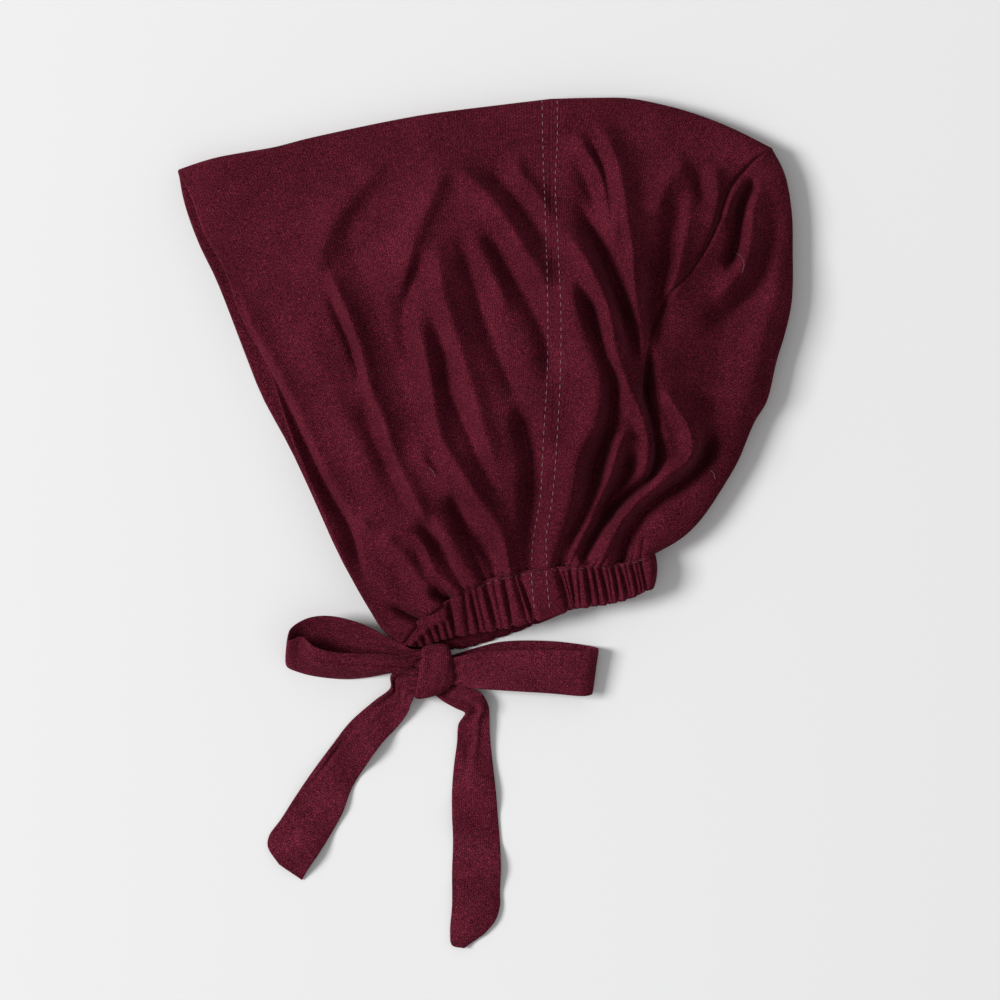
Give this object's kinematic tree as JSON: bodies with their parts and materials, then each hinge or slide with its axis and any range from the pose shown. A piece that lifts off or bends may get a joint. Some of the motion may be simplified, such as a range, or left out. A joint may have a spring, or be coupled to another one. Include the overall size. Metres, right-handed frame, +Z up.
{
  "type": "hijab underscarf cap",
  "caption": "Soft jersey underscarf cap lying on its side, with a gathered elastic nape casing and ties in a bow.",
  "frame": {"origin": "centre of the underside's bounding box, on the surface that the cap lies on", "axes": "+Z up off the surface, +Y from the ties to the crown fold, +X from the face opening to the back of the crown"},
  "size_m": [0.279, 0.3844, 0.0401],
  "materials": {
    "jersey": "fine matt burgundy jersey knit with faint wales and a heathered tone",
    "casing": "the same jersey gathered in close ribs round the elastic",
    "ties": "the same jersey as flat sewn tubes, soft and slightly lighter"
  },
  "bodies": {
    "root": {"front_panel": "jersey", "crown_panel": "jersey", "back_panel": "jersey", "nape_casing": "casing", "tie_knot": "ties", "tie_loop_left": "ties", "tie_loop_right": "ties", "tie_tail_left": "ties", "tie_tail_right": "ties"}
  },
  "joints": []
}
